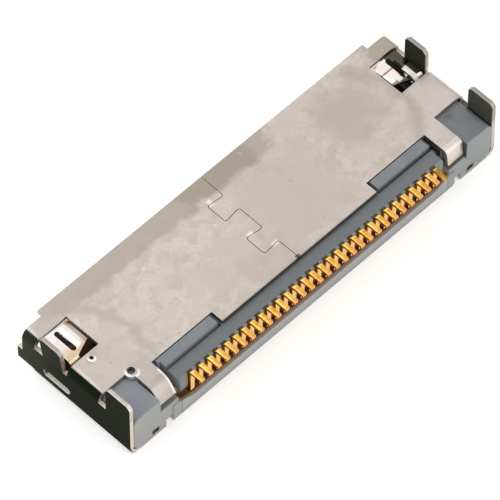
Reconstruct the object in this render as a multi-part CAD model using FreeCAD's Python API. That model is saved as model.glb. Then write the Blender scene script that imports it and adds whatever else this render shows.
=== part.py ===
import FreeCAD, Part
import math
import os

# Dock charging receptacle for a circuit board, millimetres, +Z up.
# It lies on its plain lower panel, with the seamed board side and the legs up.
# The origin is below the middle of the whole outline, at the level of the lower panel.
# X runs along the contact row, +Y points out of the mating mouth.

# Folded metal shell
shell_length = 21.80
shell_height = 2.48
shell_depth = 6.73
sheet = 0.20
bend_outer = 0.45
ear_width = 1.21
ear_setback = 0.30
hook_bottom = 0.42
hook_top = 1.16
corner_relief_depth = 0.96
corner_relief_width = 0.76

# Seam of the shell, closed by two dovetail tabs with rounded corners
seam_x = -0.08
seam_gap = 0.03
seam_round = 0.10
tab_length = 0.89
tab_root = 0.91
tab_tip = 1.11
tab_places = (2.59, 4.91)

# Rear edge of the seamed panel, measured forward from the rear plane
lug_half_width = 4.61
lug_setback = 0.91
pad_setback = 1.55
notch_gap = 0.04
notch_setback = 1.88

# Straps beside the pads. The right one is folded sharply, the left one bows down early.
strap_inset = 1.815
strap_width = 0.94
strap_slit = 0.20
left_strap_corner = 0.60
left_strap_tip = 0.17
left_strap_drop = 0.67
left_strap_bend_inner = 0.50
right_strap_corner = 0.30
right_strap_tip = 0.20
right_strap_drop = 0.80
right_strap_bend_inner = 0.05

# Windows over the retention springs
window_width = 1.865
window_rear = 3.74
window_front = 5.68

# Legs that stand up from the end walls through the board. The left front one leans outward.
leg_height = 1.06
leg_corner = 0.18
front_leg_gap = 0.22
front_leg_width = 1.23
rear_leg_width = 1.44
left_front_lean = 0.17

# Slots through the end walls
wall_slot_rear = 3.59
wall_slot_front = 5.18
wall_slot_bottom = 0.68
wall_slot_height = 0.45

# Pierced eyelet at the corner of the left notch, and a dimple behind the left window
eyelet_bore = 0.36
eyelet_outer = 0.65
eyelet_rise = 0.05
eyelet_reach = 0.09
eyelet_overhang = 0.06
dimple_bore = 0.18
dimple_outer = 0.44
dimple_inset = 1.15
dimple_gap = 0.30

# Moulded insulator
fit_gap = 0.02
edge_round = 0.30
wall_front = 2.17
arm_width = 2.18
arm_front_gap = 0.30
pad_drop = 0.05
pad_gap = 0.09
pad_front_gap = 0.03
pad_groove_width = 0.12
pad_groove_depth = 0.15
strap_pocket_gap = 0.05
strap_pocket_side = 0.30
row_face_setback = 0.14
undercut_depth = 0.35
trough_bottom = 0.42
lip_top = 0.78
lip_end_top = 1.12
lip_end_run = 0.90
lip_reach = 0.06
lip_thickness = 0.18
sill_root = 0.20
foot_notch_width = 0.40
foot_notch_height = 0.30
foot_notch_depth = 0.40
outer_notch_inset = 1.47
inner_notch_inset = 2.28
ejector_inset = 1.30
ejector_setback = 1.49
ejector_diameter = 0.42
ejector_depth = 0.05
tongue_end = 0.66
tongue_front = 5.61
tongue_bottom = 0.45
tongue_nose = 0.15

# Contacts, as many as the pitch lets in between the two row insets. The foot of the last one droops.
row_inset = 3.65
contact_pitch = 0.50
contact_width = 0.24
contact_thickness = 0.15
contact_level = 1.03
contact_setback = 0.30
contact_slot_gap = 0.02
contact_proud = 0.02
comb_width = 0.31
comb_depth = 0.14
riser_setback = 0.01
foot_reach = 0.59
last_foot_droop = 0.30
contact_bend_inner = 0.08

# Retention springs, one in each end of the mouth, each on a neck at its outer side
spring_thickness = 0.12
spring_window_gap = 0.10
spring_drop = 0.10
spring_side_gap = 0.195
spring_shoulder = 0.085
spring_neck_width = 0.46
spring_neck_gap = 0.26
spring_corner_gap = 0.58
spring_root_drop = 0.90
spring_root_length = 0.95
spring_back_gap = 0.06
spring_front_gap = 0.08
spring_bend_inner = 0.24
spring_slot_inset = 0.745
spring_slot_width = 0.26
spring_slot_rear_gap = 0.51
spring_slot_front_gap = 0.20

# Places worked out from the sizes above
total_depth = shell_depth + foot_reach
mouth_y = total_depth / 2
rear_y = mouth_y - shell_depth
half_length = shell_length / 2
wall_inner = half_length - sheet
panel_under = shell_height - sheet
wall_top = shell_height - bend_outer
strap_outer = half_length - strap_inset
strap_inner = strap_outer - strap_width
slit_inner = strap_inner - strap_slit
pocket_inner = strap_inner - strap_pocket_side
block_inner = strap_inner - strap_pocket_gap
pocket_floor = panel_under - max(left_strap_drop, right_strap_drop) - strap_pocket_gap
notch_inner = strap_outer + notch_gap
window_inner = half_length - window_width
insulator_bottom = sheet + fit_gap
insulator_top = panel_under - fit_gap
lip_half = half_length - inner_notch_inset - foot_notch_width / 2
arm_inner = half_length - arm_width
arm_front = window_rear - arm_front_gap
contact_front = tongue_front - contact_setback
whole_pitches = math.floor((shell_length - 2 * row_inset) / contact_pitch + 1e-6)
row_half = contact_pitch * whole_pitches / 2
plate_inner = window_inner + spring_window_gap
plate_outer = wall_inner - spring_side_gap
root_outer = plate_outer - spring_shoulder
root_inner = root_outer - spring_neck_width
root_level = shell_height - spring_root_drop
root_rear = arm_front - spring_root_length
overcut = 1.0


def from_rear(distance):
    """Y of a place that lies this far forward of the rear plane."""
    return rear_y + distance


def box(x_range, y_range, z_range):
    """Box between two x, two y and two z values, given in any order."""
    lows = [min(pair) for pair in (x_range, y_range, z_range)]
    sizes = [abs(pair[1] - pair[0]) for pair in (x_range, y_range, z_range)]
    return Part.makeBox(*sizes, FreeCAD.Vector(*lows))


def both_sides(shape):
    """The shape and its mirror image across the middle plane x = 0."""
    return [shape, shape.mirror(FreeCAD.Vector(0, 0, 0), FreeCAD.Vector(1, 0, 0))]


def upright(diameter, x, y, z_range):
    """Round bar standing along Z."""
    foot = FreeCAD.Vector(x, y, min(z_range))
    return Part.makeCylinder(diameter / 2, abs(z_range[1] - z_range[0]), foot)


def drawn_out(points, way):
    """Solid with a flat polygon as its section, drawn out along a vector."""
    face = Part.Face(Part.makePolygon(points + points[:1]))
    return face.extrude(way)


def along_x(corners, x_range):
    """Solid with a polygon of (y, z) corners, drawn out between two x values."""
    points = [FreeCAD.Vector(min(x_range), y, z) for y, z in corners]
    return drawn_out(points, FreeCAD.Vector(abs(x_range[1] - x_range[0]), 0, 0))


def along_y(corners, y_range):
    """Solid with a polygon of (x, z) corners, drawn out between two y values."""
    points = [FreeCAD.Vector(x, min(y_range), z) for x, z in corners]
    return drawn_out(points, FreeCAD.Vector(0, abs(y_range[1] - y_range[0]), 0))


def along_z(corners, z_range):
    """Solid with a polygon of (x, y) corners, drawn out between two z values."""
    points = [FreeCAD.Vector(x, y, min(z_range)) for x, y in corners]
    return drawn_out(points, FreeCAD.Vector(0, 0, abs(z_range[1] - z_range[0])))


def round_bar_profile(half_width, bottom, top, radius, y_range):
    """Rounded rectangle in XZ, drawn out along Y."""
    bar = box((-half_width, half_width), y_range, (bottom, top))
    long_edges = [edge for edge in bar.Edges if abs(edge.BoundBox.YLength - bar.BoundBox.YLength) < 1e-6]
    return bar.makeFillet(radius, long_edges)


def bent_strip(corners, inner_radius, thickness, x_range):
    """Folded strip of one thickness. Its middle line turns at the (y, z) corners."""
    x_start = min(x_range)
    points = [FreeCAD.Vector(0, y, z) for y, z in corners]
    runs = [(end - start).normalize() for start, end in zip(points, points[1:])]
    normals = [FreeCAD.Vector(0, -run.z, run.y) for run in runs]
    middle_radius = inner_radius + thickness / 2

    def side(offset):
        """Edges of one side, from the first corner to the last."""
        edges = []
        here = points[0] + normals[0] * offset
        for index in range(1, len(runs)):
            before, after = normals[index - 1], normals[index]
            corner = points[index] + (before + after) * (offset / (1 + before.dot(after)))
            turn = runs[index - 1].cross(runs[index]).x
            angle = math.acos(max(-1.0, min(1.0, runs[index - 1].dot(runs[index]))))
            radius = middle_radius - math.copysign(offset, offset * turn)
            reach = radius * math.tan(angle / 2)
            inward = (runs[index] - runs[index - 1]).normalize()
            centre = corner + inward * (radius / math.cos(angle / 2))
            enter = corner - runs[index - 1] * reach
            leave = corner + runs[index] * reach
            edges.append(Part.LineSegment(here, enter).toShape())
            edges.append(Part.Arc(enter, centre - inward * radius, leave).toShape())
            here = leave
        edges.append(Part.LineSegment(here, points[-1] + normals[-1] * offset).toShape())
        return edges, points[0] + normals[0] * offset, points[-1] + normals[-1] * offset

    near, near_start, near_end = side(thickness / 2)
    far, far_start, far_end = side(-thickness / 2)
    caps = [Part.LineSegment(near_start, far_start).toShape(),
            Part.LineSegment(near_end, far_end).toShape()]
    outline = Part.Wire(Part.__sortEdges__(near + far + caps))
    solid = Part.Face(outline).extrude(FreeCAD.Vector(abs(x_range[1] - x_range[0]), 0, 0))
    solid.translate(FreeCAD.Vector(x_start, 0, 0))
    return solid


def one_solid(shape):
    """The shape cleaned of split faces, as a single solid."""
    clean = shape.removeSplitter()
    if len(clean.Solids) != 1:
        raise ValueError("a piece fell into %d solids" % len(clean.Solids))
    return clean.Solids[0]


def seam_cutter():
    """Thin gap through the seamed panel that runs round two dovetail tabs."""
    path = [(seam_x, mouth_y + overcut)]
    for place in sorted(tab_places, reverse=True):
        middle = from_rear(place)
        path.append((seam_x, middle + tab_root / 2))
        path.append((seam_x - tab_length, middle + tab_tip / 2))
        path.append((seam_x - tab_length, middle - tab_tip / 2))
        path.append((seam_x, middle - tab_root / 2))
    path.append((seam_x, rear_y - overcut))
    gap = bent_strip(path, seam_round, seam_gap, (wall_top, shell_height + overcut))
    # turned so that its Y becomes X, its Z becomes Y and its X becomes Z
    gap.rotate(FreeCAD.Vector(0, 0, 0), FreeCAD.Vector(1, 1, 1), -120)
    return gap


def panel_edge_cutters():
    """What is cut from the rear edge, the ends and the windows of the seamed panel."""
    above = (panel_under - fit_gap, shell_height + overcut)
    over_bend = (wall_top, shell_height + overcut)
    behind = rear_y - overcut
    outside = half_length + overcut
    lug = box((-strap_inner, strap_inner), (behind, from_rear(lug_setback)), above)
    cutters = [lug]
    cutters += both_sides(box((lug_half_width, strap_inner), (behind, from_rear(pad_setback)), above))
    cutters += both_sides(box((strap_outer, notch_inner), (behind, from_rear(notch_setback)), above))
    cutters += both_sides(box((notch_inner, outside), (behind, from_rear(notch_setback)), over_bend))
    window = (from_rear(window_rear), from_rear(window_front))
    cutters += both_sides(box((window_inner, outside), window, over_bend))
    for side in (-1, 1):
        bend_front = from_rear(strap_reach(side))
        cutters.append(box((side * strap_inner, side * strap_outer), (behind, bend_front), above))
    return cutters


def mouth_cutters():
    """What is cut from the two ends of the mouth: the ears stand back, a hook stays below them."""
    outside = half_length + overcut
    ahead = mouth_y + overcut
    ear = (mouth_y - ear_setback, ahead)
    beside_lip = (half_length - ear_width, outside)
    cutters = both_sides(box(beside_lip, ear, (hook_top, shell_height + overcut)))
    cutters += both_sides(box(beside_lip, ear, (-overcut, hook_bottom)))
    relief = (half_length - corner_relief_width, outside)
    cutters += both_sides(box(relief, (mouth_y - corner_relief_depth, ahead), (-overcut, hook_bottom)))
    return cutters


def wall_slot_cutters():
    """Rounded slots through the end walls."""
    radius = wall_slot_height / 2
    middle = wall_slot_bottom + radius
    rear, front = from_rear(wall_slot_rear) + radius, from_rear(wall_slot_front) - radius
    start = wall_inner - overcut / 4
    slot = box((start, half_length + overcut), (rear, front), (middle - radius, middle + radius))
    for y in (rear, front):
        place = FreeCAD.Vector(start, y, middle)
        slot = slot.fuse(Part.makeCylinder(radius, overcut + sheet, place, FreeCAD.Vector(1, 0, 0)))
    return both_sides(slot)


def foot_notch_cutters(inset, top):
    """Notch upward into the rear edge near each end, this far from the end walls."""
    place = half_length - inset
    return both_sides(box((place - foot_notch_width / 2, place + foot_notch_width / 2),
                          (rear_y - overcut, from_rear(foot_notch_depth)), (-overcut, top)))


def leg(side, rear, width, lean):
    """One leg in the plane of its end wall, with its top moved outward by the lean."""
    leg_top = shell_height + leg_height
    root = wall_top - sheet
    back, fore = from_rear(rear), from_rear(rear + width)
    outline = [(back, root), (fore, root), (fore, leg_top - leg_corner), (fore - leg_corner, leg_top),
               (back + leg_corner, leg_top), (back, leg_top - leg_corner)]
    section = [(wall_inner, root), (half_length, root), (half_length, wall_top),
               (half_length + lean, leg_top), (wall_inner + lean, leg_top), (wall_inner, wall_top)]
    broad = along_x(outline, (side * (wall_inner - overcut), side * (half_length + overcut)))
    return broad.common(along_y([(side * x, z) for x, z in section], (back, fore)))


def legs():
    """Four legs, of which the left front one leans outward."""
    front = (window_rear + front_leg_gap, front_leg_width)
    rear = (0, rear_leg_width)
    return [leg(-1, *front, left_front_lean), leg(1, *front, 0), leg(-1, *rear, 0), leg(1, *rear, 0)]


def strap_bend(side):
    """Setback of the corner, setback and drop of the tip, and inner radius of one strap's bend."""
    if side < 0:
        return left_strap_corner, left_strap_tip, left_strap_drop, left_strap_bend_inner
    return right_strap_corner, right_strap_tip, right_strap_drop, right_strap_bend_inner


def strap_reach(side):
    """Setback in front of which one strap is still flat."""
    corner, _, _, bend_inner = strap_bend(side)
    return corner + bend_inner + sheet


def straps():
    """Two straps that run to the rear beside the pads and fold down over the insulator."""
    middle = shell_height - sheet / 2
    pieces = []
    for side in (-1, 1):
        corner, tip, drop, bend_inner = strap_bend(side)
        path = [(from_rear(pad_setback), middle), (from_rear(corner), middle),
                (from_rear(tip), middle - drop)]
        pieces.append(bent_strip(path, bend_inner, sheet, (side * strap_inner, side * strap_outer)))
    return pieces


def rings():
    """X, setback, outer diameter and bore of the eyelet and the dimple."""
    eyelet = (-(notch_inner - eyelet_reach), notch_setback - eyelet_overhang, eyelet_outer, eyelet_bore)
    dimple = (-(half_length - dimple_inset), window_rear - dimple_gap, dimple_outer, dimple_bore)
    return eyelet, dimple


def make_shell():
    """One sheet folded round the mouth and joined at the seam, with its legs and straps."""
    whole = (rear_y, mouth_y)
    shell = round_bar_profile(half_length, 0, shell_height, bend_outer, whole)
    hollow = (rear_y - overcut, mouth_y + overcut)
    shell = shell.cut(round_bar_profile(wall_inner, sheet, panel_under, bend_outer - sheet, hollow))
    shell = shell.cut(panel_edge_cutters() + mouth_cutters() + wall_slot_cutters() + [seam_cutter()])
    shell = shell.cut(foot_notch_cutters(inner_notch_inset, sheet + fit_gap))
    shell = shell.fuse(legs() + straps())
    panel = (panel_under, shell_height + eyelet_rise)
    through = (panel_under - fit_gap / 2, shell_height + overcut)
    for x, setback, outer, bore in rings():
        shell = shell.fuse(upright(outer, x, from_rear(setback), panel))
        shell = shell.cut(upright(bore, x, from_rear(setback), through))
    return one_solid(shell)


def contact_places():
    """X of the middle of each contact, from the left end of the row."""
    return [contact_pitch * index - row_half for index in range(whole_pitches + 1)]


def insulator_body():
    """Rear wall, end arms and end blocks of the insulator, rounded to clear the folds of the shell."""
    side = wall_inner - fit_gap
    level = (insulator_bottom, insulator_top)
    row_face = from_rear(row_face_setback)
    body = box((-side, side), (row_face, from_rear(wall_front)), level)
    arms = both_sides(box((arm_inner, side), (row_face, from_rear(arm_front)), level))
    blocks = both_sides(box((block_inner, side), (rear_y, from_rear(wall_front)), level))
    envelope = round_bar_profile(side, insulator_bottom, insulator_top, edge_round,
                                 (rear_y - overcut, mouth_y))
    undercut = box((-block_inner, block_inner), (rear_y - overcut, row_face + undercut_depth),
                   (trough_bottom, pocket_floor))
    return body.fuse(arms + blocks).common(envelope).cut(undercut)


def insulator_pads():
    """Raised pads in the recesses beside the lug."""
    return both_sides(box((lug_half_width + pad_gap, slit_inner),
                          (from_rear(lug_setback) + pad_gap, from_rear(pad_setback) - pad_front_gap),
                          (insulator_top - sheet, shell_height - pad_drop)))


def insulator_lip():
    """Lip below the contacts, on a sill, with ends that rise to meet the end blocks."""
    rearmost = from_rear(-lip_reach)
    sill = box((-lip_half, lip_half), (rearmost, from_rear(row_face_setback) + sill_root),
               (insulator_bottom, trough_bottom))
    level_end = block_inner - lip_end_run
    corners = [(-lip_half, insulator_bottom), (lip_half, insulator_bottom), (lip_half, lip_end_top),
               (block_inner, lip_end_top), (level_end, lip_top), (-level_end, lip_top),
               (-block_inner, lip_end_top), (-lip_half, lip_end_top)]
    return [sill, along_y(corners, (rearmost, rearmost + lip_thickness))]


def strap_cutters(side):
    """Pocket below one strap, and the slit between the strap and the pad."""
    level = (pocket_floor, shell_height + overcut)
    behind = rear_y - overcut
    pocket = box((side * pocket_inner, side * (strap_outer + strap_pocket_gap)),
                 (behind, from_rear(strap_reach(side)) + strap_pocket_gap), level)
    slit = box((side * slit_inner, side * strap_inner), (behind, from_rear(pad_setback)), level)
    return [pocket, slit]


def insulator_cutters():
    """Strap pockets, foot notches, ejector mark, and the groove at the foot of each pad."""
    over = shell_height + overcut
    cutters = strap_cutters(-1) + strap_cutters(1)
    for inset in (outer_notch_inset, inner_notch_inset):
        cutters += foot_notch_cutters(inset, sheet + foot_notch_height)
    cutters.append(upright(ejector_diameter, half_length - ejector_inset, from_rear(ejector_setback),
                           (insulator_top - ejector_depth, over)))
    pad_foot = from_rear(lug_setback) + pad_gap
    cutters += both_sides(box((lug_half_width + pad_gap, slit_inner), (pad_foot - pad_groove_width, pad_foot),
                              (insulator_top - pad_groove_depth, over)))
    return cutters


def contact_cutters():
    """Groove along the tongue, passage through the rear wall and comb slot for each contact."""
    half = contact_width / 2 + contact_slot_gap
    floor = contact_level - contact_thickness / 2 - contact_slot_gap
    roof = contact_level + contact_thickness / 2 + contact_slot_gap
    behind = rear_y - overcut
    cutters = []
    for x in contact_places():
        groove = box((x - half, x + half), (behind, from_rear(contact_front) + contact_slot_gap),
                     (floor, roof))
        slot = box((x - comb_width / 2, x + comb_width / 2),
                   (behind, from_rear(row_face_setback) + comb_depth), (floor, shell_height + overcut))
        cutters += [groove, slot]
    return cutters


def tongue():
    """Thin tongue that carries the mating stretch of the contacts, with a chamfered nose."""
    top = contact_level + contact_thickness / 2 - contact_proud
    front = from_rear(tongue_front)
    root = from_rear(wall_front) - sheet
    corners = [(root, tongue_bottom), (front - tongue_nose, tongue_bottom),
               (front, tongue_bottom + tongue_nose), (front, top - tongue_nose),
               (front - tongue_nose, top), (root, top)]
    side = row_half + tongue_end
    return along_x(corners, (-side, side))


def make_insulator():
    """The moulded insulator: rear wall, arms, end blocks, pads, lip, comb and tongue in one piece."""
    body = insulator_body().fuse(insulator_pads() + insulator_lip() + [tongue()])
    body = body.cut(insulator_cutters() + contact_cutters() + spring_root_cutters())
    return one_solid(body)


def make_contact(x, droop):
    """One contact: mating stretch on the tongue, riser behind the comb and solder foot."""
    foot_middle = shell_height - contact_thickness / 2
    riser_y = from_rear(riser_setback) + contact_thickness / 2
    path = [(from_rear(contact_front), contact_level), (riser_y, contact_level),
            (riser_y, foot_middle), (from_rear(-foot_reach), foot_middle - droop)]
    width = (x - contact_width / 2, x + contact_width / 2)
    return bent_strip(path, contact_bend_inner, contact_thickness, width)


def spring_path():
    """Middle line of a retention spring: root in the arm, rise, and plate in the window."""
    plate = shell_height - spring_drop - spring_thickness / 2
    rise = from_rear(window_rear + spring_back_gap) + spring_thickness / 2
    return [(from_rear(root_rear), root_level), (rise, root_level),
            (rise, plate), (from_rear(window_front) - spring_front_gap, plate)]


def spring_root_cutters():
    """Slot in each arm that the root of a spring is pushed into."""
    half = spring_thickness / 2 + contact_slot_gap
    return both_sides(box((root_inner - contact_slot_gap, root_outer + contact_slot_gap),
                          (from_rear(root_rear) - contact_slot_gap, from_rear(arm_front) + overcut),
                          (root_level - half, root_level + half)))


def make_spring(side):
    """Retention spring of one end. Side is -1 for the left end and 1 for the right."""
    spring = bent_strip(spring_path(), spring_bend_inner, spring_thickness, (plate_inner, plate_outer))
    far_behind = from_rear(root_rear) - overcut
    corner_y = from_rear(window_rear + spring_corner_gap)
    neck_y = from_rear(window_rear + spring_neck_gap)
    slope = (corner_y - neck_y) / (root_inner - plate_inner)
    inside = [(plate_inner - overcut, far_behind), (root_inner, far_behind), (root_inner, neck_y),
              (plate_inner - overcut, corner_y + slope * overcut)]
    beside = box((root_outer, plate_outer + overcut), (far_behind, from_rear(window_rear)), (0, shell_height))
    spring = spring.cut([along_z(inside, (0, shell_height)), beside])
    radius = spring_slot_width / 2
    middle = plate_inner + spring_slot_inset
    rear = from_rear(window_rear + spring_slot_rear_gap) + radius
    front = from_rear(window_front - spring_slot_front_gap) - radius
    tall = (shell_height - spring_drop - 2 * spring_thickness, shell_height + overcut)
    slot = [box((middle - radius, middle + radius), (rear, front), tall)]
    slot += [upright(spring_slot_width, middle, y, tall) for y in (rear, front)]
    spring = one_solid(spring.cut(slot))
    if side < 0:
        spring = spring.mirror(FreeCAD.Vector(0, 0, 0), FreeCAD.Vector(1, 0, 0))
    return spring


def build_parts():
    """Every piece of the receptacle, by the name of its node."""
    parts = {"shell": make_shell(), "insulator": make_insulator()}
    parts["left_retention_spring"] = make_spring(-1)
    parts["right_retention_spring"] = make_spring(1)
    places = contact_places()
    for number, x in enumerate(places, start=1):
        droop = last_foot_droop if number == len(places) else 0
        parts["contact_%02d" % number] = make_contact(x, droop)
    return parts


os.makedirs("parts", exist_ok=True)
for name, shape in build_parts().items():
    if not shape.isValid():
        raise ValueError(name + " is not a valid solid")
    shape.exportStep("parts/" + name + ".step")
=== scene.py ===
import math

import bmesh
import bpy
from mathutils import Matrix, Vector


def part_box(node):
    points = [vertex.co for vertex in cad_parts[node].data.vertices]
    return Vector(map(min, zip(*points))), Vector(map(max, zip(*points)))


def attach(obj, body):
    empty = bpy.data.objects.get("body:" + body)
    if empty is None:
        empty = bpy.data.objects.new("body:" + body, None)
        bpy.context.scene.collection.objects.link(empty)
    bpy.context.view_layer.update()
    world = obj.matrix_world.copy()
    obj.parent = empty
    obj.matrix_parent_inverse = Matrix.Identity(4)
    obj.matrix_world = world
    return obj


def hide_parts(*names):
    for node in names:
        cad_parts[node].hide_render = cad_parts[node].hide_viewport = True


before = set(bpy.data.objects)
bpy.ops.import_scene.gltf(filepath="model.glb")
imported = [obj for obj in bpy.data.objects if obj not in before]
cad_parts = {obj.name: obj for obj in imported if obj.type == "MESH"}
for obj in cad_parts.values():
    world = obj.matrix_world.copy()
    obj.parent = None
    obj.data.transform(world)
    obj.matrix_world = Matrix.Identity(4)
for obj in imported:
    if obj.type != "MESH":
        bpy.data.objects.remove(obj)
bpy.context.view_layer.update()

mm = 0.001
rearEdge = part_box("shell")[0][1]  # y of the rear edge of the shell
print("frame loaded:", len(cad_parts), "nodes")


def srgb(red, green, blue):  # a colour as the eye reads it, 0 to 255, for a shader socket
    channels = []
    for value in (red, green, blue):
        share = value / 255
        channels.append(share / 12.92 if share <= 0.04045 else ((share + 0.055) / 1.055) ** 2.4)
    return (*channels, 1.0)


# camera, at the place that a fit to the sizes of the part gives
cameraValues = {
    "azimuth": -45.066,          # angles in degrees
    "elevation": 55.68,
    "roll": -0.073,
    "distance": 254.268 * mm,
    "shiftRight": -0.577 * mm,
    "shiftUp": 0.382 * mm,
    "focalPixels": 6000,
    "framePixels": 500,
    "sensorWidth": 36,           # in millimetres, as Blender counts it
    "clip": (0.01, 10),          # nearest and furthest that shows, in metres
}


def makeCamera(values):
    azimuth, elevation = math.radians(values["azimuth"]), math.radians(values["elevation"])
    right = Vector((math.cos(azimuth), math.sin(azimuth), 0))
    back = Vector((math.sin(azimuth) * math.cos(elevation), -math.cos(azimuth) * math.cos(elevation),
                   math.sin(elevation)))
    up = back.cross(right)
    roll = math.radians(values["roll"])
    turnedRight = right * math.cos(roll) + up * math.sin(roll)
    turnedUp = up * math.cos(roll) - right * math.sin(roll)
    place = back * values["distance"] + turnedRight * values["shiftRight"] + turnedUp * values["shiftUp"]
    data = bpy.data.cameras.new("photoCamera")
    data.sensor_width = values["sensorWidth"]
    data.lens = data.sensor_width * values["focalPixels"] / values["framePixels"]
    data.clip_start, data.clip_end = values["clip"]
    camera = bpy.data.objects.new("photoCamera", data)
    bpy.context.collection.objects.link(camera)
    turn = Matrix((turnedRight, turnedUp, back)).transposed().to_4x4()
    camera.matrix_world = Matrix.Translation(place) @ turn
    bpy.context.scene.camera = camera


makeCamera(cameraValues)
bpy.context.scene.view_settings.view_transform = "Standard"
print("camera placed")


# node helpers
def addNode(tree, kind, label=None, **settings):
    node = tree.nodes.new(kind)
    if label:
        node.label = label
    for name, value in settings.items():
        setattr(node, name, value)
    return node


def join(tree, source, target):
    tree.links.new(source, target)


def mathNode(tree, operation, first, second=None, clamp=False):
    node = addNode(tree, "ShaderNodeMath", operation=operation, use_clamp=clamp)
    for socket, value in zip(node.inputs, (first, second)):
        if value is None:
            continue
        if isinstance(value, (int, float)):
            socket.default_value = value
        else:
            join(tree, value, socket)
    return node.outputs[0]


def mixColour(tree, factor, first, second):
    node = addNode(tree, "ShaderNodeMix", data_type="RGBA", blend_type="MIX")
    for socket, value in zip((node.inputs[0], node.inputs[6], node.inputs[7]), (factor, first, second)):
        if isinstance(value, (int, float, tuple)):
            socket.default_value = value
        else:
            join(tree, value, socket)
    return node.outputs[2]


def paintOver(tree, colour, paint, mask, amount):
    return mixColour(tree, mathNode(tree, "MULTIPLY", mask, amount), colour, paint)


def ramp(tree, value, low, high, lowOut=0.0, highOut=1.0):  # smooth step between two levels
    node = addNode(tree, "ShaderNodeMapRange", interpolation_type="SMOOTHSTEP")
    join(tree, value, node.inputs["Value"])
    node.inputs["From Min"].default_value = low
    node.inputs["From Max"].default_value = high
    node.inputs["To Min"].default_value = lowOut
    node.inputs["To Max"].default_value = highOut
    return node.outputs["Result"]


def noise(tree, vector, scale, detail, roughness=0.5, distortion=0.0):
    node = addNode(tree, "ShaderNodeTexNoise")
    join(tree, vector, node.inputs["Vector"])
    node.inputs["Scale"].default_value = scale
    node.inputs["Detail"].default_value = detail
    node.inputs["Roughness"].default_value = roughness
    node.inputs["Distortion"].default_value = distortion
    return node.outputs["Fac"]


def newGroup(name, inputs, outputs):
    group = bpy.data.node_groups.new(name, "ShaderNodeTree")
    for socketName, kind in inputs:
        group.interface.new_socket(name=socketName, in_out="INPUT", socket_type=kind)
    for socketName, kind in outputs:
        group.interface.new_socket(name=socketName, in_out="OUTPUT", socket_type=kind)
    return group, group.nodes.new("NodeGroupInput"), group.nodes.new("NodeGroupOutput")


def placeGroup(tree, group, **values):
    node = addNode(tree, "ShaderNodeGroup", node_tree=group)
    for name, value in values.items():
        socket = node.inputs[name]
        if isinstance(value, (int, float, tuple)):
            socket.default_value = value
        else:
            join(tree, value, socket)
    return node


# shared effects: mottling, edge wear with painted highlights, dirt with painted shade in corners, fine grain
# and soft patches
effectValues = {
    "broadNoise": {"scale": 1.0, "detail": 3.0, "roughness": 0.55, "distortion": 0.6},
    "broadLevels": (0.36, 0.64),
    "broadShare": 0.65,
    "fineNoise": {"scale": 4.3, "detail": 3.0, "roughness": 0.6, "distortion": 0.3},
    "fineLevels": (0.34, 0.68),
    "fineShare": 0.35,
    "tintNoise": {"scale": 0.55, "detail": 2.0, "roughness": 0.5},
    "tintOffset": (7.3, 2.1, 5.7),     # keeps the tint apart from the other two noises
    "tintLevels": (0.45, 0.62),
    "mostTint": 0.7,
    "raySamples": 6,
    "edgeLevels": (0.99, 0.90),        # agreement of the true normal and the rounded one
    "cornerLevels": (0.75, 0.25),      # openness of a place to its surroundings
    "grainDetail": 3.0,
}


def makeMottleGroup(values):
    group, inside, out = newGroup(
        "mottle",
        [("Vector", "NodeSocketVector"), ("Light", "NodeSocketColor"), ("Dark", "NodeSocketColor"),
         ("Tint", "NodeSocketColor"), ("Patch", "NodeSocketFloat"), ("Contrast", "NodeSocketFloat")],
        [("Color", "NodeSocketColor"), ("Mask", "NodeSocketFloat")])
    scaled = addNode(group, "ShaderNodeVectorMath", operation="SCALE")
    join(group, inside.outputs["Vector"], scaled.inputs[0])
    join(group, inside.outputs["Patch"], scaled.inputs["Scale"])
    broad = noise(group, scaled.outputs[0], **values["broadNoise"])
    fine = noise(group, scaled.outputs[0], **values["fineNoise"])
    offset = addNode(group, "ShaderNodeVectorMath", operation="ADD")
    join(group, scaled.outputs[0], offset.inputs[0])
    offset.inputs[1].default_value = values["tintOffset"]
    tintNoise = noise(group, offset.outputs[0], **values["tintNoise"])
    broadPart = mathNode(group, "MULTIPLY", ramp(group, broad, *values["broadLevels"]), values["broadShare"])
    finePart = mathNode(group, "MULTIPLY", ramp(group, fine, *values["fineLevels"]), values["fineShare"])
    both = mathNode(group, "ADD", broadPart, finePart)
    share = mathNode(group, "MULTIPLY", both, inside.outputs["Contrast"], clamp=True)
    tone = mixColour(group, share, inside.outputs["Light"], inside.outputs["Dark"])
    tintShare = ramp(group, tintNoise, *values["tintLevels"], 0.0, values["mostTint"])
    tinted = mixColour(group, tintShare, tone, inside.outputs["Tint"])
    join(group, tinted, out.inputs["Color"])
    join(group, share, out.inputs["Mask"])
    return group


def makeEdgeGroup(values):
    group, inside, out = newGroup(
        "wornAndLitEdge",
        [("Radius", "NodeSocketFloat")],
        [("Mask", "NodeSocketFloat")])
    rounded = addNode(group, "ShaderNodeBevel", samples=values["raySamples"])
    join(group, inside.outputs["Radius"], rounded.inputs["Radius"])
    geometry = addNode(group, "ShaderNodeNewGeometry")
    agree = addNode(group, "ShaderNodeVectorMath", operation="DOT_PRODUCT")
    join(group, rounded.outputs[0], agree.inputs[0])
    join(group, geometry.outputs["Normal"], agree.inputs[1])
    join(group, ramp(group, agree.outputs["Value"], *values["edgeLevels"]), out.inputs["Mask"])
    return group


def makeCornerGroup(values):
    group, inside, out = newGroup(
        "cornerDirtAndShade",
        [("Distance", "NodeSocketFloat")],
        [("Mask", "NodeSocketFloat")])
    shade = addNode(group, "ShaderNodeAmbientOcclusion", samples=values["raySamples"])
    join(group, inside.outputs["Distance"], shade.inputs["Distance"])
    join(group, ramp(group, shade.outputs["AO"], *values["cornerLevels"]), out.inputs["Mask"])
    return group


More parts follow.
